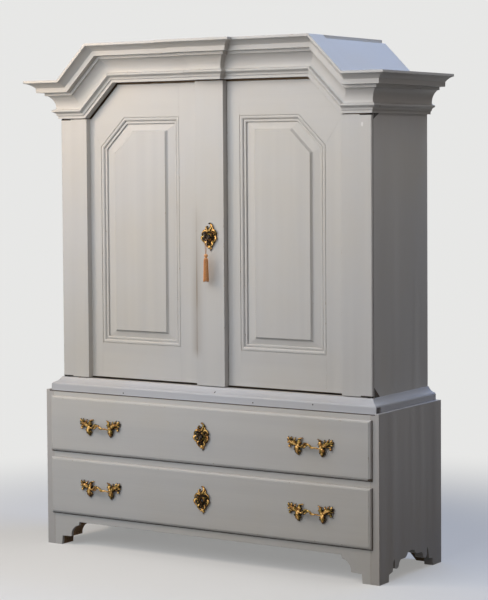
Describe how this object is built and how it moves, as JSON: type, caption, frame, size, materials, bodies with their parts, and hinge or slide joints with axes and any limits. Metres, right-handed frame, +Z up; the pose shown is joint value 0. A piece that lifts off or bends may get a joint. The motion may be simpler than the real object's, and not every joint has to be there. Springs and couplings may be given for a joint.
{
  "type": "kas cupboard",
  "caption": "Painted two-part cupboard: two panelled doors under a broken crown cornice, on a chest of lipped drawers with bracket feet.",
  "frame": {"origin": "on the floor at the middle of the cupboard's bounding box", "axes": "+X to the right seen from the front, +Y to the back, +Z up"},
  "size_m": [1.64, 0.578, 2],
  "materials": {
    "painted_wood": "old chalky paint",
    "bare_wood": "unpainted, dusty",
    "brass": "gilt, tarnished in the hollows",
    "wrought_iron": "blackened",
    "tassel_silk": "matt thread"
  },
  "bodies": {
    "carcass": {"back_boards": "bare_wood", "base_back": "bare_wood", "base_side_left": "painted_wood", "base_side_right": "painted_wood", "base_top_board": "bare_wood", "case_floor": "painted_wood", "case_side_left": "painted_wood", "case_side_right": "painted_wood", "chest_floors": "bare_wood", "cornice_centre_break": "painted_wood", "cornice_low_runs": "painted_wood", "cornice_raking_runs": "painted_wood", "cornice_returns": "painted_wood", "cornice_top_run": "painted_wood", "drawer_rails": "painted_wood", "front_apron": "painted_wood", "head_board": "painted_wood", "pivot_sockets": "wrought_iron", "roof_boards": "bare_wood", "shelves": "bare_wood", "stop_rail": "painted_wood", "waist_front": "painted_wood", "waist_sides": "painted_wood"},
    "left_door": {"left_door_escutcheon": "brass", "left_door_hinge_stile": "painted_wood", "left_door_lock_case": "wrought_iron", "left_door_lock_stile": "painted_wood", "left_door_lock_strip": "painted_wood", "left_door_panel": "painted_wood", "left_door_panel_moulding": "painted_wood", "left_door_pilaster": "painted_wood", "left_door_pivots": "wrought_iron", "left_door_rails": "painted_wood"},
    "right_door": {"right_door_hinge_stile": "painted_wood", "right_door_irons": "wrought_iron", "right_door_lock_stile": "painted_wood", "right_door_panel": "painted_wood", "right_door_panel_moulding": "painted_wood", "right_door_pilaster": "painted_wood", "right_door_pivots": "wrought_iron", "right_door_rails": "painted_wood"},
    "upper_drawer": {"upper_drawer_bottom": "bare_wood", "upper_drawer_escutcheon": "brass", "upper_drawer_front": "painted_wood", "upper_drawer_lock": "wrought_iron", "upper_drawer_pulls": "brass", "upper_drawer_walls": "bare_wood"},
    "lower_drawer": {"lower_drawer_bottom": "bare_wood", "lower_drawer_escutcheon": "brass", "lower_drawer_front": "painted_wood", "lower_drawer_lock": "wrought_iron", "lower_drawer_pulls": "brass", "lower_drawer_walls": "bare_wood"},
    "key": {"left_door_key": "wrought_iron"},
    "drawer_key": {"upper_drawer_key": "wrought_iron"},
    "lock_bolt": {"left_door_lock_bolt": "wrought_iron"},
    "tassel": {"tassel": "tassel_silk", "tassel_cord": "tassel_silk"},
    "top_bolt": {"right_door_top_bolt": "wrought_iron"},
    "bottom_bolt": {"right_door_bottom_bolt": "wrought_iron"}
  },
  "joints": [
    {"name": "left_door_hinge", "type": "hinge", "parent": "carcass", "child": "left_door", "pos_m": [-0.708, -0.15, 0.674], "axis": [0, 0, -1], "range_deg": [0, 120]},
    {"name": "right_door_hinge", "type": "hinge", "parent": "carcass", "child": "right_door", "pos_m": [0.708, -0.15, 0.674], "axis": [0, 0, 1], "range_deg": [0, 120]},
    {"name": "upper_drawer_slide", "type": "slide", "parent": "carcass", "child": "upper_drawer", "axis": [0, -1, 0], "range_m": [0, 0.33]},
    {"name": "lower_drawer_slide", "type": "slide", "parent": "carcass", "child": "lower_drawer", "axis": [0, -1, 0], "range_m": [0, 0.33]},
    {"name": "key_turn", "type": "hinge", "parent": "left_door", "child": "key", "pos_m": [0.004, -0.156, 1.25], "axis": [0, -1, 0], "range_deg": [0, 91]},
    {"name": "lock_bolt_slide", "type": "slide", "parent": "left_door", "child": "lock_bolt", "axis": [1, 0, 0], "range_m": [0, 0.014]},
    {"name": "tassel_swing", "type": "hinge", "parent": "key", "child": "tassel", "pos_m": [0.004, -0.184, 1.2375], "axis": [0, -1, 0], "range_deg": [-91, 1]},
    {"name": "drawer_key_turn", "type": "hinge", "parent": "upper_drawer", "child": "drawer_key", "pos_m": [0, -0.2145, 0.489], "axis": [0, -1, 0], "range_deg": [0, 90]},
    {"name": "top_bolt_slide", "type": "slide", "parent": "right_door", "child": "top_bolt", "axis": [0, 0, 1], "range_m": [0, 0.018]},
    {"name": "bottom_bolt_slide", "type": "slide", "parent": "right_door", "child": "bottom_bolt", "axis": [0, 0, -1], "range_m": [0, 0.018]}
  ],
  "couplings": [
    {"joint": "key_turn", "follows": "lock_bolt_slide", "rad_per_m": 112.2},
    {"joint": "tassel_swing", "follows": "lock_bolt_slide", "rad_per_m": -112.2}
  ]
}
